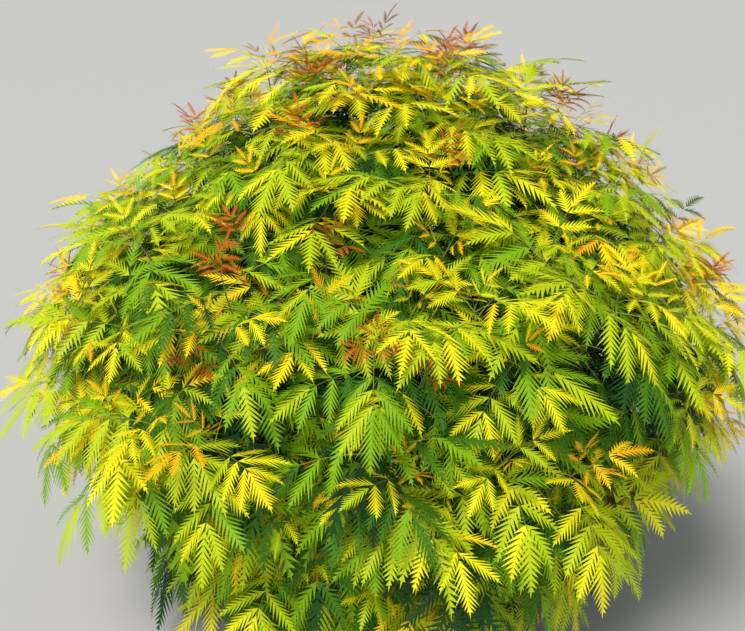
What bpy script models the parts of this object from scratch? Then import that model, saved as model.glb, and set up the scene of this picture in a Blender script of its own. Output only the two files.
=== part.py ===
"""A golden cut-leaf red elderberry: a dense, dome-shaped shrub of many arching boughs.

Metres, +Z up. The origin is the middle of the flat cut under the short stem, at ground level.
The front is -Y. Each mass of foliage is one uneven closed solid, and each bough is one tapering
limb that rises from the stem, or forks off another bough, and ends where it meets its mass.
"""

import math
import random
from collections import namedtuple

import bmesh
import bpy
from mathutils import Vector, noise
from mathutils.geometry import interpolate_bezier

SEED = 11
UP = Vector((0, 0, 1))

# Crown: the dome that the masses of foliage fill, by its reach from the stem on each side. Below
# the waist it is drawn in on the left, most at one depth and not at all a spread away from it.
CROWN_HEIGHT = 1.46
CROWN_LEFT = 0.89
CROWN_RIGHT = 0.92
CROWN_FRONT = 0.93
CROWN_BACK = 0.87
CROWN_LEAN = -0.03
LEFT_PULL = 0.22
LEFT_PULL_DEPTH = 0.24
LEFT_PULL_SPREAD = 0.3
WAIST_HEIGHT = 0.7
SKIRT_HEIGHT = 0.03
LEFT_ROUNDNESS = 1.42
RIGHT_ROUNDNESS = 1.7
LOWER_ROUNDNESS = 2.3

# Masses of foliage
MASS_GAP = 0.02
MASS_SUBDIVISIONS = 3
CORNER_SHARPNESS = 10
LUMP_SIZE = 0.24
LUMP_DEPTH = 0.045
TUFT_SIZE = 0.11
TUFT_DEPTH = 0.035
TIER_FLATNESS = 1.6
DISTANCE_STEP = 0.0005
AZIMUTH_JITTER = math.radians(4)
ELEVATION_JITTER = math.radians(3)

# Stem
STEM_HEIGHT = 0.17
STEM_SHOULDER = 0.11
STEM_RADIUS = 0.078
FLARE_RADIUS = 0.118
FLARE_HEIGHT = 0.085
FLARE_LOBES = 5
LOBE_DEPTH = 0.1
STEM_LEAN = Vector((0.05, -0.04, 0))
STEM_TOP_SHARE = 0.25
STEM_RINGS = 8
STEM_SIDES_RESOLUTION = 4

# Boughs
BOUGH_TIP_RADIUS = 0.0055
BOUGH_RINGS = 8
BOUGH_SIDES_RESOLUTION = 1
BOUGH_BOW = 0.36
BOUGH_SWAY = 0.007
TAPER_POWER = 0.85
CLEARANCE = 0.0003
WELD_DISTANCE = 0.000001

# Each tier of masses: azimuth and elevation are seen from the middle of the crown's waist, reach is
# how far the tier stands out from the even dome, and depth, width and height are half sizes.
Tier = namedtuple("Tier", "name count azimuth elevation reach depth width height limb")

# The tier's boughs: where they leave the stem, or how far along another tier's bough they fork,
# their thickness there, and their slopes where they leave and where they arrive.
Limb = namedtuple("Limb", "seat_height seat_radius fork_tier fork_at radius rise arrival")

TOP_LIMB = Limb(0.15, 0.019, None, 0, 0.0145, 85, 72)
SHOULDER_LIMB = Limb(0.13, 0.052, None, 0, 0.0145, 72, 35)
WAIST_LIMB = Limb(0.085, 0.054, None, 0, 0.013, 61, 18)
SKIRT_LIMB = Limb(0, 0, "waist", 0.3, 0.008, 22, -14)

TIERS = (
    Tier("top", 3, 24, 69, 1.0, 0.19, 0.42, 0.4, TOP_LIMB),
    Tier("shoulder", 5, 270, 36, 0.985, 0.2, 0.55, 0.4, SHOULDER_LIMB),
    Tier("waist", 7, 284, 5, 1.04, 0.2, 0.56, 0.36, WAIST_LIMB),
    Tier("skirt", 7, 258, -31, 0.99, 0.18, 0.5, 0.36, SKIRT_LIMB),
)

STEM_COLOUR = (0.16, 0.115, 0.075, 1)
STEM_ROUGHNESS = 0.85
BOUGH_COLOUR = (0.24, 0.19, 0.12, 1)
BOUGH_ROUGHNESS = 0.75
FOLIAGE_ROUGHNESS = 0.6
FOLIAGE_COLOURS = {
    "top": (0.72, 0.6, 0.03, 1),
    "shoulder": (0.6, 0.58, 0.03, 1),
    "waist": (0.36, 0.5, 0.025, 1),
    "skirt": (0.2, 0.38, 0.025, 1),
}


def clear_scene():
    for obj in list(bpy.data.objects):
        bpy.data.objects.remove(obj, do_unlink=True)


def new_collection(name, shown=True):
    collection = bpy.data.collections.new(name)
    collection.hide_render = not shown
    bpy.context.scene.collection.children.link(collection)
    return collection


def plain_material(name, colour, roughness):
    material = bpy.data.materials.new(name)
    material.use_nodes = True
    shader = material.node_tree.nodes["Principled BSDF"]
    shader.inputs["Base Color"].default_value = colour
    shader.inputs["Roughness"].default_value = roughness
    shader.inputs["Metallic"].default_value = 0
    material.diffuse_color = colour
    return material


def stem_bark():
    return plain_material("stem_bark", STEM_COLOUR, STEM_ROUGHNESS)


def bough_bark():
    return plain_material("bough_bark", BOUGH_COLOUR, BOUGH_ROUGHNESS)


def foliage(tier_name):
    return plain_material("foliage_" + tier_name, FOLIAGE_COLOURS[tier_name], FOLIAGE_ROUGHNESS)


def waist_centre():
    return Vector((0, 0, WAIST_HEIGHT))


def upper_roundness(offset):
    """How full the crown is above its waist: less on the left, where its outline is straighter."""
    leftness = (1 - math.cos(math.atan2(offset.y, offset.x))) / 2
    return RIGHT_ROUNDNESS + (LEFT_ROUNDNESS - RIGHT_ROUNDNESS) * leftness


def crown_level(point):
    """1 on the crown's even surface, less inside it and more outside it."""
    offset = point - waist_centre()
    offset.x -= CROWN_LEAN * max(offset.z, 0)
    if offset.x < 0:
        apart = abs(offset.z + LEFT_PULL_DEPTH)
        offset.x /= 1 - LEFT_PULL * max(1 - apart / LEFT_PULL_SPREAD, 0)
    side = CROWN_RIGHT if offset.x > 0 else CROWN_LEFT
    front = CROWN_BACK if offset.y > 0 else CROWN_FRONT
    flat = math.hypot(offset.x / side, offset.y / front)
    if offset.z > 0:
        tall = CROWN_HEIGHT - WAIST_HEIGHT
        power = upper_roundness(offset)
    else:
        tall = WAIST_HEIGHT - SKIRT_HEIGHT
        power = LOWER_ROUNDNESS
    return (flat**power + abs(offset.z / tall) ** power) ** (1 / power)


def crown_distance(start, direction, reach=1):
    """How far it is from a point inside the crown to the crown's even surface, scaled by reach."""
    near, far = 0.0, 2 * (CROWN_LEFT + CROWN_RIGHT)
    while far - near > DISTANCE_STEP:
        middle = (near + far) / 2
        if crown_level(start + direction * middle) < reach:
            near = middle
        else:
            far = middle
    return near


def unevenness(point):
    """How far the foliage swells out or hollows in near a point: broad lumps with tufts on them,
    flattened as the tiers of leaves are."""
    shift = Vector((SEED, 0, 0))
    flattened = Vector((point.x, point.y, point.z * TIER_FLATNESS))
    lumps = noise.noise(flattened / LUMP_SIZE + shift)
    tufts = noise.noise(flattened / TUFT_SIZE - shift)
    return LUMP_DEPTH * lumps + TUFT_DEPTH * tufts


class Mass:
    """One mass of foliage: its place in the crown, its half sizes and its own axes."""

    def __init__(self, tier, index, chance):
        turn = math.tau * index / tier.count + chance.uniform(-1, 1) * AZIMUTH_JITTER
        azimuth = math.radians(tier.azimuth) + turn
        elevation = math.radians(tier.elevation) + chance.uniform(-1, 1) * ELEVATION_JITTER
        flat = Vector((math.cos(azimuth), math.sin(azimuth), 0))
        self.name = f"{tier.name}_{index + 1}"
        self.number = index + 1
        self.tier = tier
        self.outward = flat * math.cos(elevation) + UP * math.sin(elevation)
        self.sideways = UP.cross(flat)
        self.upward = self.outward.cross(self.sideways)
        reach = crown_distance(waist_centre(), self.outward) * tier.reach
        self.centre = waist_centre() + self.outward * (reach - tier.depth)

    def fork_name(self):
        """The mass whose bough this mass's bough forks off."""
        return f"{self.tier.limb.fork_tier}_{self.number}"

    def own_distance(self, direction):
        """The mass's own half size along a direction, not counting its depth where it faces out."""
        shares = (
            min(direction.dot(self.outward), 0) / self.tier.depth,
            direction.dot(self.sideways) / self.tier.width,
            direction.dot(self.upward) / self.tier.height,
        )
        return 1 / max(math.hypot(*shares), 1)

    def limits(self, direction, others):
        """Distances along a direction to what bounds the mass: its own uneven size and the crown's
        uneven surface, the ground, and the plane half way to each of the other masses."""
        own = self.own_distance(direction)
        crown = crown_distance(self.centre, direction, self.tier.reach)
        swelling = unevenness(self.centre + direction * min(own, crown))
        yield own + swelling
        yield crown + swelling
        if direction.z < 0:
            yield (self.centre.z - SKIRT_HEIGHT) / -direction.z
        for other in others:
            apart = other.centre - self.centre
            facing = direction.dot(apart) / apart.length
            if facing > 0:
                yield (apart.length - MASS_GAP) / 2 / facing

    def surface_point(self, direction, others):
        """A point of the surface. The soft minimum rounds the corners and stays short of every limit."""
        total = sum(limit**-CORNER_SHARPNESS for limit in self.limits(direction, others))
        return self.centre + direction * total ** (-1 / CORNER_SHARPNESS)


def mesh_object(name, mesh, collection, material):
    obj = bpy.data.objects.new(name, mesh)
    mesh.materials.clear()
    mesh.materials.append(material)
    mesh.shade_smooth()
    collection.objects.link(obj)
    return obj


def build_mass(mass, others, collection, material):
    shape = bmesh.new()
    bmesh.ops.create_icosphere(shape, subdivisions=MASS_SUBDIVISIONS, radius=1)
    for vertex in shape.verts:
        vertex.co = mass.surface_point(vertex.co.normalized(), others)
    mesh = bpy.data.meshes.new("foliage_" + mass.name)
    shape.to_mesh(mesh)
    shape.free()
    return mesh_object("foliage_" + mass.name, mesh, collection, material)


def tapered_tube(name, points, radii, sides_resolution):
    """A closed mesh tube along points, made from a curve with filled caps."""
    curve = bpy.data.curves.new(name, "CURVE")
    curve.dimensions = "3D"
    curve.bevel_depth = 1
    curve.bevel_resolution = sides_resolution
    curve.use_fill_caps = True
    spline = curve.splines.new("POLY")
    spline.points.add(len(points) - 1)
    for spline_point, place, radius in zip(spline.points, points, radii):
        spline_point.co = (*place, 1)
        spline_point.radius = radius
    guide = bpy.data.objects.new(name + "_line", curve)
    bpy.context.scene.collection.objects.link(guide)
    bpy.context.view_layer.update()
    evaluated = guide.evaluated_get(bpy.context.evaluated_depsgraph_get())
    mesh = bpy.data.meshes.new_from_object(evaluated)
    bpy.data.objects.remove(guide)
    mesh.name = name
    shape = bmesh.new()
    shape.from_mesh(mesh)
    bmesh.ops.remove_doubles(shape, verts=shape.verts, dist=WELD_DISTANCE)
    bmesh.ops.recalc_face_normals(shape, faces=shape.faces)
    shape.to_mesh(mesh)
    shape.free()
    return mesh


def stem_radius(height):
    """The stem's radius: a root flare, an even neck and a rounded top that the boughs leave."""
    flare = max(1 - height / FLARE_HEIGHT, 0) ** 2
    above = max(height - STEM_SHOULDER, 0) / (STEM_HEIGHT - STEM_SHOULDER)
    dome = math.sqrt(max(1 - above**2, STEM_TOP_SHARE**2))
    return (STEM_RADIUS + (FLARE_RADIUS - STEM_RADIUS) * flare) * dome


def stem_middle(height):
    """The middle of the stem at a height. It leaves the ground upright, then leans."""
    return UP * height + STEM_LEAN * max(height - STEM_HEIGHT / STEM_RINGS, 0)


def build_stem(collection, material):
    heights = [STEM_HEIGHT * ring / STEM_RINGS for ring in range(STEM_RINGS + 1)]
    points = [stem_middle(height) for height in heights]
    radii = [stem_radius(height) for height in heights]
    mesh = tapered_tube("stem", points, radii, STEM_SIDES_RESOLUTION)
    for vertex in mesh.vertices:
        low = max(1 - vertex.co.z / FLARE_HEIGHT, 0)
        azimuth = math.atan2(vertex.co.y, vertex.co.x)
        swelling = 1 + LOBE_DEPTH * low * math.cos(FLARE_LOBES * azimuth)
        vertex.co.x *= swelling
        vertex.co.y *= swelling
        vertex.co.z = max(vertex.co.z, 0)
    return mesh_object("stem", mesh, collection, material)


def along(points, share):
    """The point at a share of the way along a list of points."""
    place = share * (len(points) - 1)
    index = min(int(place), len(points) - 2)
    return points[index].lerp(points[index + 1], place - index)


def bough_start(mass, paths):
    """Where a bough begins: inside the stem's top, or on the middle of the bough it forks off."""
    limb = mass.tier.limb
    if limb.fork_tier:
        return along(paths[mass.fork_name()], limb.fork_at)
    flat = Vector((mass.outward.x, mass.outward.y, 0)).normalized()
    return stem_middle(limb.seat_height) + flat * limb.seat_radius


def bough_path(mass, start, chance):
    """Points from the start to the mass's middle, along one smooth arch. Those between its two
    first and its last sway a little."""
    flat = Vector((mass.centre.x - start.x, mass.centre.y - start.y, 0)).normalized()
    rise, arrival = math.radians(mass.tier.limb.rise), math.radians(mass.tier.limb.arrival)
    leaving = flat * math.cos(rise) + UP * math.sin(rise)
    arriving = flat * math.cos(arrival) + UP * math.sin(arrival)
    bow = (mass.centre - start).length * BOUGH_BOW
    first, last = start + leaving * bow, mass.centre - arriving * bow
    points = interpolate_bezier(start, first, last, mass.centre, BOUGH_RINGS)
    side = flat.cross(UP)
    for index in range(2, BOUGH_RINGS - 1):
        sway = Vector((0, 0, chance.uniform(-1, 1))) + side * chance.uniform(-1, 1)
        points[index] += sway * BOUGH_SWAY
    return points


def bough_radii(base_radius):
    shares = [ring / (BOUGH_RINGS - 1) for ring in range(BOUGH_RINGS)]
    return [
        base_radius + (BOUGH_TIP_RADIUS - base_radius) * share**TAPER_POWER for share in shares
    ]


def clearance_cutter(source, collection):
    """A copy of an object that stands proud of it by the gap that touching pieces keep."""
    cutter = bpy.data.objects.new(source.name + "_clearance", source.data.copy())
    cutter.hide_render = True
    cutter.display_type = "WIRE"
    collection.objects.link(cutter)
    swelling = cutter.modifiers.new("clearance", "DISPLACE")
    swelling.mid_level = 0
    swelling.strength = CLEARANCE
    return cutter


def cut(obj, cutter):
    boolean = obj.modifiers.new("meets_" + cutter.name, "BOOLEAN")
    boolean.operation = "DIFFERENCE"
    boolean.solver = "EXACT"
    boolean.object = cutter


def build_bough(mass, path, carrier_cutter, mass_cutter, collection, material):
    radii = bough_radii(mass.tier.limb.radius)
    mesh = tapered_tube("bough_" + mass.name, path, radii, BOUGH_SIDES_RESOLUTION)
    bough = mesh_object("bough_" + mass.name, mesh, collection, material)
    cut(bough, carrier_cutter)
    cut(bough, mass_cutter)
    return bough


def main():
    clear_scene()
    shrub = new_collection("golden_cutleaf_elderberry")
    cutters = new_collection("cutters", shown=False)
    chance = random.Random(SEED)
    masses = [Mass(tier, index, chance) for tier in TIERS for index in range(tier.count)]
    foliage_materials = {tier.name: foliage(tier.name) for tier in TIERS}
    bark = bough_bark()
    stem = build_stem(shrub, stem_bark())
    stem_cutter = clearance_cutter(stem, cutters)
    paths, bough_cutters = {}, {}
    for mass in masses:
        others = [other for other in masses if other is not mass]
        solid = build_mass(mass, others, shrub, foliage_materials[mass.tier.name])
        paths[mass.name] = bough_path(mass, bough_start(mass, paths), chance)
        carrier = bough_cutters.get(mass.fork_name(), stem_cutter)
        mass_cutter = clearance_cutter(solid, cutters)
        bough = build_bough(mass, paths[mass.name], carrier, mass_cutter, shrub, bark)
        bough_cutters[mass.name] = clearance_cutter(bough, cutters)


main()
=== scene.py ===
"""Looks of the golden cut-leaf red elderberry, in metres, in the frame of its CAD model.

Every mass of foliage is replaced by twigs that grow on from its bough and by shoots that carry
pairs of pinnate, deeply cut leaves. The stem and the boughs are replaced by meshes with bark.
"""

import math

import bpy
import numpy as np
from mathutils import Matrix, Vector, noise
from mathutils.bvhtree import BVHTree


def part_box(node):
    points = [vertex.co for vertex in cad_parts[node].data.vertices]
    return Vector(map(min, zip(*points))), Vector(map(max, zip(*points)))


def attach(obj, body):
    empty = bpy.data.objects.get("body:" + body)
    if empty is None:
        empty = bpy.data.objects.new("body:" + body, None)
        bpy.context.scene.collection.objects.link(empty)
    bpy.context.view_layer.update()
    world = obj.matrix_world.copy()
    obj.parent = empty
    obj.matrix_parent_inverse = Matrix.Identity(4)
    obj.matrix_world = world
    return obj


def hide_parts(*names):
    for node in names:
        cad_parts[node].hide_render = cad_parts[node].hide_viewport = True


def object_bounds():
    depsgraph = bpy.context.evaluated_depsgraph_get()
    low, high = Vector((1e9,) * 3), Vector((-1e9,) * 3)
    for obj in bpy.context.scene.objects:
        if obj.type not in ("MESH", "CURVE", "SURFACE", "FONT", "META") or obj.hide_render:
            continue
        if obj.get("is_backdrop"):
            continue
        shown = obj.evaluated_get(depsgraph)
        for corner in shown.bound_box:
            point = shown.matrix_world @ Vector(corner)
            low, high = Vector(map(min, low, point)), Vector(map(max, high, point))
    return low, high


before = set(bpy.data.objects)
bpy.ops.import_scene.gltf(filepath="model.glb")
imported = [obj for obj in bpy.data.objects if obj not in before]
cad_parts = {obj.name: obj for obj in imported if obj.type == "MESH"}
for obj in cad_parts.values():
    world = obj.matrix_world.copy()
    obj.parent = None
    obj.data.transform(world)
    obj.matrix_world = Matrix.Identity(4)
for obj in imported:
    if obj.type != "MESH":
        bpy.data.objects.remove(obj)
cad_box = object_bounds()

SEED = 7
UP = Vector((0, 0, 1))
DOWN = np.array((0.0, 0.0, -1.0))

# How far a piece may stand out of the CAD model's box, and its least height above the ground
OVERHANG = 0.05
GROUND_GAP = 0.0005
LOWEST_CORNER = np.array((cad_box[0][0] - OVERHANG, cad_box[0][1] - OVERHANG, GROUND_GAP))
HIGHEST_CORNER = np.array(cad_box[1]) + OVERHANG

# The photograph's camera: its frame and focal length in pixels, its place and how far it looks down
PHOTO_WIDTH, PHOTO_HEIGHT = 745, 631
FOCAL_PIXELS = 1023
SENSOR_WIDTH = 36
CAMERA_PLACE = Vector((0, -2.5, 1.498))
CAMERA_PITCH = math.radians(17.63)
FORWARD = Vector((0, math.cos(CAMERA_PITCH), -math.sin(CAMERA_PITCH)))
UPRIGHT = Vector((0, math.sin(CAMERA_PITCH), math.cos(CAMERA_PITCH)))

# Where the photograph shows copper young shoots, and pockets that are kept free of shoots, with
# their radii, all in its pixels
COPPER_TIPS = (
    (250, 30), (292, 28), (308, 112), (287, 148), (392, 30), (415, 147), (447, 22), (453, 70),
    (520, 47), (545, 85), (144, 125), (235, 216), (238, 292), (340, 272), (170, 350), (75, 325),
    (356, 371), (424, 384), (386, 423), (360, 545), (735, 250),
)
POCKETS = (
    (605, 400, 50), (30, 315, 28), (480, 345, 26), (95, 430, 28), (240, 530, 28), (545, 500, 26),
    (330, 395, 22), (150, 270, 20), (185, 470, 26), (150, 395, 20), (350, 560, 22),
)

# The crown as an even dome, which gives the way out of it at a point
CROWN_MIDDLE = Vector((0, 0, 0.62))
DOME_RADIUS = 0.93
DOME_HEIGHT = 0.8

# Shoots over the crown: their spread, how they rise, and how far inside the masses' surface they
# end. Rays that find the surface set out RAY_REACH from the crown's middle.
SHOOT_COUNT = 400
LOWEST_ELEVATION = math.radians(-56)
SHOOT_JITTER = 0.3
SHOOT_SPACING = 0.1
SHOOT_RISE = 0.6
RISE_RANGE = (0.5, 1.3)
SHOOT_INSET = 0.065
SIDE_INSET = 0.08
INSET_SPREAD = 0.035
SIDE_ROOM = 0.17
SHOOT_LEAN = 0.22
SHOOT_LENGTH = 0.3
SHOOT_BEND_SHARE = 0.45
BASE_BACK_SHARE = 0.5
BASE_IN_SHARE = 0.55
LOWEST_BASE = 0.06
RAY_REACH = 3
DEEPEST_HIT = 2.9
NEAR_SIDE_LIMIT = -0.05

# Copper tips: their share of the far side's shoots, and how their leaves differ from the others
COPPER_SHARE = 0.16
COPPER_SIZE = 0.38
COPPER_NARROWING = 0.72
COPPER_CLOSING = 0.7
COPPER_PAIRS = 2

# Leaf pairs of a shoot from its tip down: how far back, the leaf's length as a share of the
# shoot's full leaf length, its angle from the shoot in degrees, and its pairs of leaflets
LEAF_PAIRS = (
    (0.004, 0.4, 26, 2),
    (0.014, 0.7, 46, 2),
    (0.038, 0.95, 64, 3),
    (0.08, 1.02, 76, 3),
    (0.135, 1.0, 86, 3),
    (0.2, 0.92, 92, 2),
)
LEAF_LENGTH = 0.235
LEAF_LENGTH_SPREAD = 0.025
COARSE_FROM_PAIR = 4
CULLED_FROM_PAIR = 3
CULL_LIMIT = -0.35
ANGLE_SPREAD = 9
TURN_SPREAD = 0.3
SIZE_SPREAD = 0.12
LEAF_LIFT = 0.6

# Parts of a leaf
STALK_SHARE = 0.6
LEAFLET_SHARE = 0.5
LEAFLET_WIDTH = 0.21
TOOTH_BASE = 0.78
SINUS_SHARE = 0.1
SINUS_GROWTH = 0.2
TOOTH_CURL = 0.35
RAGGEDNESS = 0.26
FINE_TEETH = 9
COARSE_TEETH = 5
STALK_RADIUS = 0.0011
STALK_TAPER = 0.6
SAG_RANGE = (14, 42)
LEAFLET_SAG_RANGE = (12, 48)
FOLD_RANGE = (8, 30)
RAKE_RANGE = (0.9, 1.5)
LEAFLET_DIP = 14
LEAFLET_TURN = 7
END_TURN = 8
LEAFLET_TILT = (-0.1, 0.35)
LEAFLET_LIFT = 0.25

# The youngest pair against the others: its sags, its leaflets' width and how far they fold
YOUNG_SAG = 0.4
YOUNG_LEAFLET_SAG = 0.5
YOUNG_WIDTH = 0.8
YOUNG_FOLD = 1.6

# Odds that a leaflet is a tone greener at its leaf's foot, and yellower towards its end
GREENER_ODDS, GREENER_LOSS = 0.35, 0.25
YELLOWER_ODDS, YELLOWER_GAIN = 0.05, 0.3

# Midrib points of a leaflet as shares of its length, and its outline
MIDRIB_START = 0.015
MIDRIB_SPAN = 0.86
MIDRIB_CROWDING = 0.94
BASE_FULLNESS = 0.6
POINT_LENGTH = 1.4
WIDEST = 0.32
LAST_TOOTH_REACH = 0.985

# Pairs of leaflets of a leaf: place along its stalk, angle from it in degrees, and relative size
LEAFLET_PLACES = {
    2: ((0.5, 58, 0.92), (0.86, 44, 0.95)),
    3: ((0.4, 66, 0.84), (0.64, 54, 1.0), (0.9, 40, 0.92)),
}
END_LEAFLET_SIZE = 1.05

# Twigs
TWIG_STEP = 0.04
FIRST_TWIG_STEP = 0.03
TWIG_OVERLAP = 0.01
GUIDE_RINGS = 12
TIP_STEPS = 6
BEND_COST = 0.35
PATH_COST = 0.35
LEAVING_SHARE = 0.35
ARRIVING_SHARE = 0.3
SHOOT_TIP_RADIUS = 0.0016
TIP_NARROWING = 0.6
THICK_TWIG, THIN_TWIG = 0.004, 0.0025
PIPE_POWER = 0.42

# Bark, and the point that the ways of the boughs set out from
BOUGH_START = Vector((0, 0, 0.15))
SLICE_MARGIN = 0.015
BARK_RELIEF = 0.1
STEM_SIDES = 40
STEM_RINGS = 40
BOUGH_SIDES = 12
BOUGH_RINGS = 30
RIDGES_ACROSS = 70
RIDGES_ALONG = 16
GRAIN_SCALE, GRAIN_SHARE = 160, 0.4
BUMP_STRENGTH, BUMP_DEPTH = 0.5, 0.003
BOUGH_TONES = ((0.09, 0.07, 0.045), (0.26, 0.2, 0.12))
STEM_TONES = ((0.07, 0.05, 0.035), (0.22, 0.16, 0.1))
BOUGH_NOISE_SCALE, STEM_NOISE_SCALE = 60, 45

# Roughness and specular level of each kind
LEAF_FINISH = (0.55, 0.15)
BARK_FINISH = (0.85, 0.2)
MATT = 0.8

# Leaf tones, each with its slot and base colour, from the sunny outside of the crown to its inside:
# golden to green as the leaves' own colour, and darker inwards as painted shade
TONES = (
    ("leaf_amber", "leaf_gold", (0.86, 0.44, 0.006)),
    ("leaf_gold", "leaf_gold", (0.88, 0.66, 0.007)),
    ("leaf_yellow", "leaf_gold", (0.7, 0.67, 0.007)),
    ("leaf_lime", "leaf_lime", (0.42, 0.54, 0.006)),
    ("leaf_spring", "leaf_lime", (0.19, 0.37, 0.005)),
    ("leaf_green", "leaf_green", (0.045, 0.15, 0.006)),
    ("leaf_deep", "leaf_deep", (0.012, 0.055, 0.009)),
)
COPPER = len(TONES)
COPPER_LOOK = ("shoot_copper", "shoot_copper", (0.52, 0.12, 0.013))
STALK_COLOUR = (0.3, 0.36, 0.06)
TWIG_COLOUR = (0.17, 0.14, 0.06)

# How the tone deepens, in tones: at a tip of middle height, for each pair back from the tip, for
# a whole crown's height down, for each metre to the right, and by patches of noise. The deepening by
# pair and by height is partly the leaves' own greening and partly painted shade of the crown's inside
# and foot
FIRST_TONE = 0.8
TONE_BY_PAIR = 1.2
TONE_BY_HEIGHT = 1.2
TONE_BY_RIGHT = 0.3
TONE_SPREAD = 0.4
WIDE_PATCHES, WIDE_PATCH_SCALE = 1.5, 2.4
SMALL_PATCHES, SMALL_PATCH_SCALE = 1.1, 6.5
TONE_HEIGHT = 1.3

# Setting: the floor, the world and the two lights, each as its way, power, spread and colour
FLOOR_SIZE = 1200
FLOOR_COLOUR = (0.5, 0.5, 0.49)
WORLD_COLOUR = (0.88, 0.94, 1)
WORLD_STRENGTH = 0.26
KEY_LIGHT = ((0.35, 0.55, -1), 3.4, 30, (1, 0.98, 0.93))
FILL_LIGHT = ((-0.1, 1, -0.4), 0.8, 50, (1, 1, 1))


def clear_startup_objects():
    for name in ("Cube", "Light", "Camera"):
        found = bpy.data.objects.get(name)
        if found:
            bpy.data.objects.remove(found, do_unlink=True)


def unit(vectors):
    """Vectors of an array brought to length 1."""
    lengths = np.linalg.norm(vectors, axis=-1, keepdims=True)
    return vectors / np.maximum(lengths, 1e-9)


def turned(vectors, axes, angles):
    """Vectors turned about unit axes by angles, all of them arrays."""
    cosine, sine = np.cos(angles)[..., None], np.sin(angles)[..., None]
    along = np.sum(vectors * axes, axis=-1, keepdims=True)
    return vectors * cosine + np.cross(axes, vectors) * sine + axes * along * (1 - cosine)


class Arcs:
    """Lines that start in a direction and that gravity bends evenly down by an angle, with frames."""

    def __init__(self, starts, directions, normals, lengths, sags):
        self.starts, self.lengths = starts, lengths
        self.directions = unit(directions)
        side = np.cross(self.directions, normals)
        self.sides = unit(side)
        self.normals = np.cross(self.sides, self.directions)
        across = np.cross(self.directions, DOWN)
        flat = np.linalg.norm(across, axis=-1) < 0.05
        across[flat] = self.sides[flat]
        self.axes = unit(across)
        room = np.arccos(np.clip(self.directions @ DOWN, -1, 1))
        self.sags = np.clip(np.minimum(sags, room * 0.9), 0.02, None)

    def at(self, shares):
        """Points, directions, sides and normals at shares of the length: each (lines, shares, 3)."""
        angles = self.sags[:, None] * shares
        axes = np.broadcast_to(self.axes[:, None], (*angles.shape, 3))
        start = np.broadcast_to(self.directions[:, None], axes.shape)
        bend = np.cross(axes, start)
        scale = (self.lengths / self.sags)[:, None, None]
        points = self.starts[:, None] + scale * (
            start * np.sin(angles)[..., None] + bend * (1 - np.cos(angles))[..., None]
        )
        directions = turned(start, axes, angles)
        sides = turned(np.broadcast_to(self.sides[:, None], axes.shape), axes, angles)
        normals = turned(np.broadcast_to(self.normals[:, None], axes.shape), axes, angles)
        return points, directions, sides, normals


class Heap:
    """Triangles of one kind, gathered from many places and joined into one mesh."""

    def __init__(self):
        self.places, self.faces, self.count = [], [], 0

    def add(self, places, faces):
        """Adds copies of one layout: places (copies, points, 3) and faces (triangles, 3)."""
        copies, points = places.shape[:2]
        offsets = self.count + points * np.arange(copies)[:, None, None]
        self.faces.append((faces[None] + offsets).reshape(-1, 3))
        self.places.append(places.reshape(-1, 3))
        self.count += copies * points

    def build(self, name, material, smooth=False):
        places = np.concatenate(self.places)
        faces = np.concatenate(self.faces)
        places = np.clip(places, LOWEST_CORNER, HIGHEST_CORNER)
        mesh = bpy.data.meshes.new(name)
        mesh.vertices.add(len(places))
        mesh.vertices.foreach_set("co", places.astype(np.float32).ravel())
        mesh.loops.add(faces.size)
        mesh.loops.foreach_set("vertex_index", faces.astype(np.int32).ravel())
        mesh.polygons.add(len(faces))
        mesh.polygons.foreach_set("loop_start", np.arange(0, faces.size, 3, dtype=np.int32))
        mesh.update(calc_edges=True)
        mesh.polygons.foreach_set("use_smooth", np.full(len(faces), smooth))
        mesh.materials.append(material)
        obj = bpy.data.objects.new(name, mesh)
        bpy.context.scene.collection.objects.link(obj)
        return obj


# Materials


def new_material(name, colour, roughness, specular=0.5):
    material = bpy.data.materials.new(name)
    material.use_nodes = True
    shader = material.node_tree.nodes["Principled BSDF"]
    shader.inputs["Base Color"].default_value = (*colour, 1)
    shader.inputs["Roughness"].default_value = roughness
    shader.inputs["Specular IOR Level"].default_value = specular
    return material


def leaf_material(name, colour):
    return new_material(name, colour, *LEAF_FINISH)


def bark_material(name, dark, light, scale):
    """Bark in two tones that a noise mixes, with the same noise as fine bumps."""
    material = new_material(name, light, *BARK_FINISH)
    nodes, links = material.node_tree.nodes, material.node_tree.links
    shader = nodes["Principled BSDF"]
    place = nodes.new("ShaderNodeTexCoord")
    grain = nodes.new("ShaderNodeTexNoise")
    grain.inputs["Scale"].default_value = scale
    grain.inputs["Detail"].default_value = 6
    mix = nodes.new("ShaderNodeMix")
    mix.data_type = "RGBA"
    mix.inputs["A"].default_value = (*dark, 1)
    mix.inputs["B"].default_value = (*light, 1)
    bump = nodes.new("ShaderNodeBump")
    bump.inputs["Strength"].default_value = BUMP_STRENGTH
    bump.inputs["Distance"].default_value = BUMP_DEPTH
    links.new(place.outputs["Object"], grain.inputs["Vector"])
    links.new(grain.outputs["Fac"], mix.inputs["Factor"])
    links.new(mix.outputs["Result"], shader.inputs["Base Color"])
    links.new(grain.outputs["Fac"], bump.inputs["Height"])
    links.new(bump.outputs["Normal"], shader.inputs["Normal"])
    return material


# Leaves


def leaflet_layout(teeth):
    """Triangles of a leaflet. Its points are the midrib's, its tip, and each side's tooth tips and
    shoulders. A tooth is two triangles, from the midrib to its shoulder and on to its tip."""
    tip = teeth + 1
    faces = []
    for side in range(2):
        tips, shoulders = tip + 1 + side * 2 * teeth, tip + 1 + side * 2 * teeth + teeth
        for tooth in range(teeth):
            faces.append((tooth, tooth + 1, shoulders + tooth))
            faces.append((tooth, shoulders + tooth, tips + tooth))
        faces.append((teeth, tip, shoulders + teeth - 1))
    faces = np.array(faces)
    half = len(faces) // 2
    faces[half:] = faces[half:, ::-1]
    return faces


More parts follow.
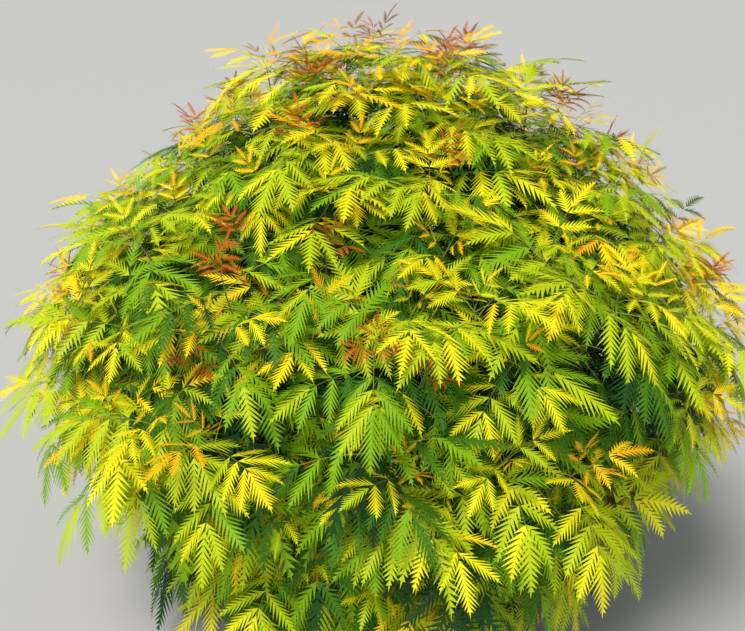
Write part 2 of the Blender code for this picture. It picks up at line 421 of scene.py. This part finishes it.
def outline(shares):
    """Half width of a leaflet along it, 1 at its widest: full near the base, with a long point."""
    width = (shares + 0.04) ** BASE_FULLNESS * np.maximum(1 - shares, 0) ** POINT_LENGTH
    return width / WIDEST


def grow_leaflets(heap_of, rows, teeth, rng):
    """Adds leaflets to the heaps of their tones. Rows are dicts of arrays, one entry a leaflet."""
    arcs = Arcs(rows["start"], rows["direction"], rows["normal"], rows["length"], rows["sag"])
    count = len(arcs.lengths)
    midrib = MIDRIB_START + MIDRIB_SPAN * (np.arange(teeth + 1) / teeth) ** MIDRIB_CROWDING
    middle = (midrib[:-1] + midrib[1:]) / 2
    ragged = 1 + RAGGEDNESS * rng.uniform(-1, 1, (count, 2, teeth))
    widths = (rows["length"] * rows["width"])[:, None]
    layout = leaflet_layout(teeth)
    spine = arcs.at(np.broadcast_to(midrib, (count, teeth + 1)))[0]
    tip = arcs.at(np.ones((count, 1)))[0]
    parts = [spine, tip]
    fold = rows["fold"][:, None, None]
    for side, way in enumerate((-1, 1)):
        reach = widths * outline(middle) * ragged[:, side]
        forward = middle + rows["rake"][:, None] * reach / rows["length"][:, None]
        points, _, across, lift = arcs.at(np.minimum(forward, LAST_TOOTH_REACH))
        reach = reach[..., None]
        rise = np.sin(fold) * reach - TOOTH_CURL * reach**2 / widths[..., None]
        tips = points + way * across * np.cos(fold) * reach + lift * rise
        deep = SINUS_SHARE + SINUS_GROWTH * middle[None, :, None]
        foot = spine[:, :-1] + TOOTH_BASE * (spine[:, 1:] - spine[:, :-1])
        shoulders = foot + deep * (tips - spine[:, :-1])
        parts += [tips, shoulders]
    places = np.concatenate(parts, axis=1)
    behind = rows["start"][:, 1] > 0
    for tone in np.unique(rows["tone"]):
        for half in (False, True):
            chosen = (rows["tone"] == tone) & (behind == half)
            heap_of[tone, half].add(places[chosen], layout)


def tube_layout(rings, sides):
    """Triangles of an open tube of rings."""
    faces = []
    for ring in range(rings - 1):
        for side in range(sides):
            after = (side + 1) % sides
            low, high = ring * sides, (ring + 1) * sides
            faces.append((low + side, low + after, high + after))
            faces.append((low + side, high + after, high + side))
    return np.array(faces)


def grow_stalks(heap, arcs, rings, radii):
    """Adds three-sided leaf stalks that thin out to a point."""
    shares = np.broadcast_to(np.linspace(0, 1, rings), (len(arcs.lengths), rings))
    points, _, sides, normals = arcs.at(shares)
    thick = radii[:, None] * (1 - STALK_TAPER * np.linspace(0, 1, rings))
    corners = []
    for corner in range(3):
        angle = math.tau * corner / 3 + math.pi / 2
        outward = sides * math.cos(angle) + normals * math.sin(angle)
        corners.append(points + outward * thick[..., None])
    places = np.stack(corners, axis=2).reshape(len(points), rings * 3, 3)
    heap.add(places, tube_layout(rings, 3))


def varied(rng, share, count):
    """Random factors round 1 that differ from it by up to a share."""
    return rng.uniform(1 - share, 1 + share, count)


def gather(rows):
    """A list of dicts as one dict of arrays."""
    return {key: np.array([row[key] for row in rows]) for key in rows[0]}


def grow_leaves(heaps, leaves, rng):
    """Adds whole leaves: each a stalk that gravity bends, pairs of leaflets and an end leaflet."""
    for pairs in LEAFLET_PLACES:
        for coarse in (False, True):
            chosen = [leaf for leaf in leaves if leaf["pairs"] == pairs and leaf["coarse"] == coarse]
            if chosen:
                grow_leaf_group(heaps, gather(chosen), pairs, coarse, rng)


def grow_leaf_group(heaps, leaf, pairs, coarse, rng):
    """Adds leaves that have the same pairs of leaflets and the same fineness of teeth."""
    count = len(leaf["length"])
    stalk = Arcs(
        leaf["start"], leaf["direction"], leaf["normal"], leaf["length"] * STALK_SHARE, leaf["sag"]
    )
    grow_stalks(heaps["stalk"], stalk, 3 if coarse else 5, leaf["length"] / LEAF_LENGTH * STALK_RADIUS)
    layouts = [(1.0, 0, END_LEAFLET_SIZE, 0)]
    for share, spread, size in LEAFLET_PLACES[pairs]:
        layouts += [(share, spread, size, -1), (share, spread, size, 1)]
    for share, spread, size, way in layouts:
        points, along, across, lift = (part[:, 0] for part in stalk.at(np.full((count, 1), share)))
        angle = np.radians(spread + rng.uniform(-LEAFLET_TURN, LEAFLET_TURN, count)) * way
        if way == 0:
            angle = np.radians(rng.uniform(-END_TURN, END_TURN, count))
        direction = along * np.cos(angle)[:, None] + across * np.sin(angle)[:, None]
        dip = np.radians(rng.uniform(0, LEAFLET_DIP, count))[:, None] * (1 if way else 0.5)
        direction = unit(direction * np.cos(dip) - lift * np.sin(dip))
        tilt = rng.uniform(*LEAFLET_TILT, count)[:, None]
        normal = unit(lift + across * way * tilt - DOWN * LEAFLET_LIFT)
        length = leaf["length"] * LEAFLET_SHARE * size * varied(rng, 0.1, count)
        greener = rng.random(count) < GREENER_ODDS - GREENER_LOSS * share
        yellower = rng.random(count) < YELLOWER_ODDS + YELLOWER_GAIN * share
        step = greener.astype(int) - yellower.astype(int)
        rows = {
            "start": points,
            "direction": direction,
            "normal": normal,
            "length": length,
            "sag": leaf["leaflet_sag"] * varied(rng, 0.4, count),
            "width": leaf["width"] * varied(rng, 0.12, count),
            "fold": leaf["fold"] * varied(rng, 0.5, count),
            "rake": leaf["rake"] * varied(rng, 0.15, count),
            "tone": np.where(
                leaf["tone"] == COPPER, COPPER, np.clip(leaf["tone"] + step, 0, len(TONES) - 1)
            ),
        }
        grow_leaflets(heaps, rows, COARSE_TEETH if coarse else FINE_TEETH, rng)


# Crown


def foliage_nodes():
    return [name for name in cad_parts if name.startswith("foliage_")]


def cad_triangles(names):
    """Points and triangles of several CAD nodes joined, and each triangle's node."""
    places, faces, owners = [], [], []
    for name in names:
        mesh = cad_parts[name].data
        mesh.calc_loop_triangles()
        offset = len(places)
        places += [vertex.co.copy() for vertex in mesh.vertices]
        for triangle in mesh.loop_triangles:
            faces.append([corner + offset for corner in triangle.vertices])
            owners.append(name)
    return places, faces, owners


def way_out(point):
    """The even dome's normal nearest a point of the crown."""
    height = point.z - CROWN_MIDDLE.z
    away = Vector((point.x / DOME_RADIUS**2, point.y / DOME_RADIUS**2, height / DOME_HEIGHT**2))
    return away.normalized()


def even_directions(count, rng):
    """Directions spread evenly over a sphere, a little jittered."""
    golden = math.pi * (3 - math.sqrt(5))
    jitter = SHOOT_JITTER * math.sqrt(2 * math.tau / count)
    for index in range(count):
        height = 1 - 2 * (index + 0.5) / count
        flat = math.sqrt(1 - height * height)
        angle = golden * index
        place = Vector((flat * math.cos(angle), flat * math.sin(angle), height))
        yield (place + Vector(rng.uniform(-jitter, jitter, 3))).normalized()


class Shoot:
    """A leafy shoot: its tip, its direction there, the mass it belongs to and its leaf size."""

    def __init__(self, surface, mass, rng):
        self.mass = mass
        self.out = way_out(surface)
        rise = SHOOT_RISE * rng.uniform(*RISE_RANGE)
        lean = Vector(rng.uniform(-SHOOT_LEAN, SHOOT_LEAN, 3))
        self.direction = (self.out * (1 - rise) + UP * rise + lean).normalized()
        upright = max(self.out.z, 0)
        inset = SHOOT_INSET + SIDE_INSET * (1 - upright) + rng.uniform(-1, 1) * INSET_SPREAD
        self.tip = surface - self.out * inset
        for axis in (0, 1):
            low, high = cad_box[0][axis] + SIDE_ROOM, cad_box[1][axis] - SIDE_ROOM
            self.tip[axis] = min(max(self.tip[axis], low), high)
        self.leaf_length = LEAF_LENGTH + rng.uniform(-1, 1) * LEAF_LENGTH_SPREAD
        self.turn = rng.uniform(0, math.tau)
        self.copper = rng.random() < COPPER_SHARE
        self.corner = self.tip - self.direction * SHOOT_LENGTH * SHOOT_BEND_SHARE
        self.base = self.tip - self.direction * BASE_BACK_SHARE * SHOOT_LENGTH
        self.base -= self.out * BASE_IN_SHARE * SHOOT_LENGTH
        self.base.z = max(self.base.z, LOWEST_BASE)

    def at(self, back):
        """The point and the direction at a distance back from the tip, along the shoot's bend."""
        share = min(back / SHOOT_LENGTH, 1)
        point = self.tip.lerp(self.corner, share).lerp(self.corner.lerp(self.base, share), share)
        heading = (self.tip - self.corner).lerp(self.corner - self.base, share)
        return point, heading.normalized()


def in_photo(point):
    """Where the photograph shows a point, in its pixels."""
    way = point - CAMERA_PLACE
    depth = way.dot(FORWARD)
    across = PHOTO_WIDTH / 2 + FOCAL_PIXELS * way.x / depth
    down = PHOTO_HEIGHT / 2 - FOCAL_PIXELS * way.dot(UPRIGHT) / depth
    return Vector((across, down))


def faces_photo(shoot):
    """Whether a shoot is on the near side of the crown."""
    return (shoot.tip - CAMERA_PLACE).normalized().dot(shoot.out) < NEAR_SIDE_LIMIT


def in_pocket(shoot):
    """Whether a shoot of the near side ends in one of the pockets."""
    seen = in_photo(shoot.tip)
    inside = any((seen - Vector((x, y))).length < radius for x, y, radius in POCKETS)
    return inside and faces_photo(shoot)


def place_copper(shoots):
    """Puts the near side's copper tips at the shoots nearest to where the photograph has them."""
    near = [shoot for shoot in shoots if faces_photo(shoot)]
    for shoot in near:
        shoot.copper = False
    for pixel in COPPER_TIPS:
        closest = min(near, key=lambda shoot: (in_photo(shoot.tip) - Vector(pixel)).length)
        closest.copper = True


def sample_shoots(tree, owners, rng):
    """Shoots spread over the masses, none too near another or in a pocket."""
    shoots = []
    for direction in even_directions(SHOOT_COUNT * 2, rng):
        if math.asin(direction.z) < LOWEST_ELEVATION:
            continue
        place, _, triangle, far = tree.ray_cast(CROWN_MIDDLE + direction * RAY_REACH, -direction)
        if place is None or far > DEEPEST_HIT:
            continue
        shoot = Shoot(place, owners[triangle], rng)
        crowded = any((other.tip - shoot.tip).length < SHOOT_SPACING for other in shoots)
        if not crowded and not in_pocket(shoot):
            shoots.append(shoot)
    place_copper(shoots)
    return shoots


def tone_of(shoot, pair, point, rng):
    """The tone of a leaf: golden at the sunny tips, and greener and darker down the shoot and the
    crown, partly the leaves' own colour and partly painted shade.
    """
    height = min(max(point.z / TONE_HEIGHT, 0), 1)
    patch = noise.noise(point * WIDE_PATCH_SCALE) * WIDE_PATCHES
    patch += noise.noise(point * SMALL_PATCH_SCALE) * SMALL_PATCHES
    shade = FIRST_TONE + TONE_BY_PAIR * pair - TONE_BY_HEIGHT * (height - 0.5)
    shade += TONE_BY_RIGHT * max(point.x, 0)
    return int(np.clip(round(shade + patch + rng.normal(0, TONE_SPREAD)), 0, len(TONES) - 1))


def leaves_of(shoot, rng):
    """The leaves of one shoot, in opposite pairs, each pair turned a quarter from the last."""
    for pair, (back, size, angle, leaflet_pairs) in enumerate(LEAF_PAIRS):
        point, heading = shoot.at(back)
        aside = heading.orthogonal().normalized()
        young = pair == 0
        for half in range(2):
            turn = shoot.turn + pair * math.pi / 2 + half * math.pi
            turn += rng.uniform(-TURN_SPREAD, TURN_SPREAD)
            around = Matrix.Rotation(turn, 3, heading) @ aside
            copper = shoot.copper and pair < COPPER_PAIRS
            spread = math.radians(angle + rng.uniform(-ANGLE_SPREAD, ANGLE_SPREAD))
            spread *= COPPER_CLOSING if copper else 1
            direction = heading * math.cos(spread) + around * math.sin(spread)
            if pair >= CULLED_FROM_PAIR and direction.dot(shoot.out) < CULL_LIMIT:
                continue
            normal = (heading - direction * heading.dot(direction)).normalized() + UP * LEAF_LIFT
            length = shoot.leaf_length * (COPPER_SIZE if copper else size)
            width = COPPER_NARROWING if copper else YOUNG_WIDTH if young else 1
            yield {
                "start": point,
                "direction": direction,
                "normal": normal,
                "length": length * rng.uniform(1 - SIZE_SPREAD, 1 + SIZE_SPREAD),
                "sag": math.radians(rng.uniform(*SAG_RANGE)) * (YOUNG_SAG if young else 1),
                "leaflet_sag": math.radians(rng.uniform(*LEAFLET_SAG_RANGE))
                * (YOUNG_LEAFLET_SAG if young else 1),
                "width": LEAFLET_WIDTH * width,
                "fold": math.radians(rng.uniform(*FOLD_RANGE)) * (YOUNG_FOLD if young else 1),
                "rake": rng.uniform(*RAKE_RANGE),
                "pairs": 3 if copper else leaflet_pairs,
                "coarse": pair >= COARSE_FROM_PAIR,
                "tone": COPPER if copper else tone_of(shoot, pair, point, rng),
            }


# Twigs


def slices(name, way, count):
    """Middles and mean radii of even slices across a CAD limb, along a way."""
    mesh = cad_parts[name].data
    places = np.array([vertex.co for vertex in mesh.vertices])
    edges = np.array([edge.vertices for edge in mesh.edges])
    along = places @ np.array(way)
    low, high = along.min(), along.max()
    found = []
    for share in np.linspace(SLICE_MARGIN, 1 - SLICE_MARGIN, count):
        level = low + (high - low) * share
        first, second = along[edges[:, 0]] - level, along[edges[:, 1]] - level
        crossed = first * second < 0
        part = (first / (first - second))[crossed, None]
        met = places[edges[crossed, 0]] * (1 - part) + places[edges[crossed, 1]] * part
        middle = (met.min(axis=0) + met.max(axis=0)) / 2
        radius = np.linalg.norm(met - middle, axis=1).mean()
        found.append((Vector(middle), radius))
    return found


def bough_slices(name, count):
    """Slices across a bough, along the way from the stem to the middle of its mass."""
    low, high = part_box(name.replace("bough_", "foliage_"))
    way = ((low + high) / 2 - BOUGH_START).normalized()
    return slices(name, way, count)


class Branches:
    """The twigs of one mass: points that each know the one they grow from."""

    def __init__(self, start, heading):
        self.points, self.parents, self.paths = [start], [None], [0.0]
        for step in range(1, 3):
            self.add(start + heading * FIRST_TWIG_STEP * step, step - 1)

    def add(self, point, parent):
        self.points.append(point)
        self.parents.append(parent)
        self.paths.append(self.paths[parent] + (point - self.points[parent]).length)
        return len(self.points) - 1

    def heading(self, index):
        parent = self.parents[index]
        if parent is None:
            return self.points[1] - self.points[0]
        return self.points[index] - self.points[parent]

    def cost(self, index, target):
        """How little a twig from this point to the target suits: long, roundabout or bent back."""
        way = target - self.points[index]
        bend = 1 - way.normalized().dot(self.heading(index).normalized())
        return way.length * (1 + BEND_COST * bend) + PATH_COST * self.paths[index]

    def grow_to(self, target, arrival):
        """Grows a twig to the target from the point that suits best, and returns its end."""
        root = min(range(1, len(self.points)), key=lambda index: self.cost(index, target))
        start = self.points[root]
        reach = (target - start).length
        leaving = start + self.heading(root).normalized() * reach * LEAVING_SHARE
        arriving = target - arrival * reach * ARRIVING_SHARE
        steps = max(round(reach / TWIG_STEP), 1)
        last = root
        for step in range(1, steps + 1):
            last = self.add(bezier(start, leaving, arriving, target, step / steps), last)
        return last


def bezier(start, leaving, arriving, end, share):
    """A point of the curve between two ends that two more points pull on."""
    first = start.lerp(leaving, share)
    second = leaving.lerp(arriving, share)
    third = arriving.lerp(end, share)
    return first.lerp(second, share).lerp(second.lerp(third, share), share)


def chains(branches):
    """The twigs as lists of point numbers, each from the point that it forks from to its end. The
    fork's thickest child carries the line on."""
    children = {index: [] for index in range(len(branches.points))}
    for index, parent in enumerate(branches.parents):
        if parent is not None:
            children[parent].append(index)
    weight = [0.0] * len(branches.points)
    for index in reversed(range(len(branches.points))):
        weight[index] = sum(weight[child] for child in children[index]) or 1.0
    starts, found = [(None, 0)], []
    while starts:
        root, index = starts.pop()
        chain = [index] if root is None else [root, index]
        while children[index]:
            ordered = sorted(children[index], key=lambda child: -weight[child])
            starts += [(index, child) for child in ordered[1:]]
            index = ordered[0]
            chain.append(index)
        found.append(chain)
    return found, weight


def bark_relief(place):
    """How far the bark stands out at a place, about -1 to 1: ridges that run up, and a fine grain."""
    across = RIDGES_ACROSS
    ridges = noise.noise(Vector((place.x * across, place.y * across, place.z * RIDGES_ALONG)))
    return ridges + GRAIN_SHARE * noise.noise(place * GRAIN_SCALE)


def grow_tube(heap, points, radii, sides, relief=0.0):
    """Adds one closed tube along points, its frame carried along without twist."""
    heading = (points[1] - points[0]).normalized()
    aside = heading.orthogonal().normalized()
    rings = []
    for index, (point, radius) in enumerate(zip(points, radii)):
        before, after = points[max(index - 1, 0)], points[min(index + 1, len(points) - 1)]
        heading = (after - before).normalized()
        aside = (aside - heading * aside.dot(heading)).normalized()
        other = heading.cross(aside)
        for side in range(sides):
            angle = math.tau * side / sides
            outward = aside * math.cos(angle) + other * math.sin(angle)
            height = 1 + relief * bark_relief(point + outward * radius) if relief else 1
            rings.append(point + outward * radius * height)
    places = np.array([*rings, points[0], points[-1]])[None]
    count, last = len(points) * sides, (len(points) - 1) * sides
    caps = [(count, (side + 1) % sides, side) for side in range(sides)]
    caps += [(count + 1, last + side, last + (side + 1) % sides) for side in range(sides)]
    heap.add(places, np.concatenate([tube_layout(len(points), sides), caps]))


def grow_twigs(heap, branches):
    """Adds the tubes of a mass's twigs, each as thick as the tips that it carries ask for."""
    found, weight = chains(branches)
    for chain in found:
        radii = [SHOOT_TIP_RADIUS * weight[index] ** PIPE_POWER for index in chain]
        if len(chain) > 1:
            radii[0] = radii[1]
        radii[-1] *= TIP_NARROWING
        points = [branches.points[index] for index in chain]
        thick = max(radii)
        grow_tube(heap, points, radii, 6 if thick > THICK_TWIG else 5 if thick > THIN_TWIG else 4)


def grow_mass(name, shoots, heaps):
    """Grows one mass's twigs from its bough's tip to the bases of its shoots and along them."""
    line = bough_slices(name.replace("foliage_", "bough_"), GUIDE_RINGS)
    end = line[-1][0]
    heading = (end - line[-3][0]).normalized()
    branches = Branches(end - heading * TWIG_OVERLAP, heading)
    for shoot in sorted(shoots, key=lambda shoot: (shoot.base - end).length):
        last = branches.grow_to(shoot.base, (shoot.corner - shoot.base).normalized())
        for step in reversed(range(TIP_STEPS)):
            last = branches.add(shoot.at(SHOOT_LENGTH * step / TIP_STEPS)[0], last)
    grow_twigs(heaps["twig"], branches)


# Stem and boughs


def build_boughs(material):
    heap = Heap()
    names = [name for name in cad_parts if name.startswith("bough_")]
    for name in names:
        line = bough_slices(name, BOUGH_RINGS)
        points = [middle for middle, _ in line]
        radii = [radius for _, radius in line]
        grow_tube(heap, points, radii, BOUGH_SIDES, BARK_RELIEF)
    return heap.build("bark_of_boughs", material, smooth=True), names


def build_stem(material):
    heap = Heap()
    line = slices("stem", (0, 0, 1), STEM_RINGS)
    points = [middle for middle, _ in line]
    points[0] = Vector((points[1].x, points[1].y, 0))
    grow_tube(heap, points, [radius for _, radius in line], STEM_SIDES, BARK_RELIEF)
    return heap.build("bark_of_stem", material, smooth=True)


# Setting


def build_floor():
    bpy.ops.mesh.primitive_plane_add(size=FLOOR_SIZE)
    floor = bpy.context.object
    floor.name = "floor"
    floor.data.materials.append(new_material("floor", FLOOR_COLOUR, MATT))
    floor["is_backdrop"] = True


def soft_light(name, aim, power, spread, colour):
    """A light from far off, as soft as a bright sky: the way it shines, its power and its spread."""
    light = bpy.data.lights.new(name, "SUN")
    light.energy = power
    light.angle = math.radians(spread)
    light.color = colour
    obj = bpy.data.objects.new(name, light)
    obj.rotation_euler = Vector(aim).to_track_quat("-Z", "Y").to_euler()
    bpy.context.scene.collection.objects.link(obj)


def build_light():
    world = bpy.data.worlds.new("studio")
    world.use_nodes = True
    background = world.node_tree.nodes["Background"]
    background.inputs["Color"].default_value = (*WORLD_COLOUR, 1)
    background.inputs["Strength"].default_value = WORLD_STRENGTH
    bpy.context.scene.world = world
    soft_light("key", *KEY_LIGHT)
    soft_light("fill", *FILL_LIGHT)


def build_camera():
    camera = bpy.data.cameras.new("camera")
    camera.sensor_width = SENSOR_WIDTH
    camera.lens = SENSOR_WIDTH * FOCAL_PIXELS / PHOTO_WIDTH
    obj = bpy.data.objects.new("camera", camera)
    obj.location = CAMERA_PLACE
    obj.rotation_euler = (math.pi / 2 - CAMERA_PITCH, 0, 0)
    bpy.context.scene.collection.objects.link(obj)
    bpy.context.scene.camera = obj


def place_piece(piece, slot, replaced):
    """Fixes a piece to the one body and puts it in place of CAD nodes."""
    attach(piece, "root")
    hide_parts(*replaced)


def build_foliage(rng):
    """Leaves, their stalks and the twigs, each kind and tone apart, in place of the masses."""
    masses = foliage_nodes()
    places, faces, owners = cad_triangles(masses)
    shoots = sample_shoots(BVHTree.FromPolygons(places, faces), owners, rng)
    heaps = {(tone, half): Heap() for tone in range(COPPER + 1) for half in (False, True)}
    heaps["stalk"], heaps["twig"] = Heap(), Heap()
    grow_leaves(heaps, [leaf for shoot in shoots for leaf in leaves_of(shoot, rng)], rng)
    for name in masses:
        mine = [shoot for shoot in shoots if shoot.mass == name]
        if mine:
            grow_mass(name, mine, heaps)
    for tone, (name, slot, colour) in enumerate((*TONES, COPPER_LOOK)):
        material = leaf_material(name, colour)
        for half in (False, True):
            if heaps[tone, half].count:
                side = "far" if half else "near"
                place_piece(heaps[tone, half].build(f"{name}_{side}", material), slot, masses)
    stalks = heaps["stalk"].build("leaf_stalks", leaf_material("leaf_stalk", STALK_COLOUR))
    place_piece(stalks, "leaf_stalk", masses)
    twigs = heaps["twig"].build("twigs", new_material("twig_bark", TWIG_COLOUR, MATT), smooth=True)
    place_piece(twigs, "twig_bark", masses)


def main():
    clear_startup_objects()
    bpy.context.scene.view_settings.view_transform = "Standard"
    build_foliage(np.random.default_rng(SEED))
    bough_bark = bark_material("bough_bark", *BOUGH_TONES, BOUGH_NOISE_SCALE)
    boughs, bough_names = build_boughs(bough_bark)
    place_piece(boughs, "bough_bark", bough_names)
    stem_bark = bark_material("stem_bark", *STEM_TONES, STEM_NOISE_SCALE)
    place_piece(build_stem(stem_bark), "stem_bark", ["stem"])
    build_floor()
    build_light()
    build_camera()


main()
seen_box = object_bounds()
boxes = {"cad": cad_box, "seen": seen_box}
{name: [list(corner) for corner in box] for name, box in boxes.items()}
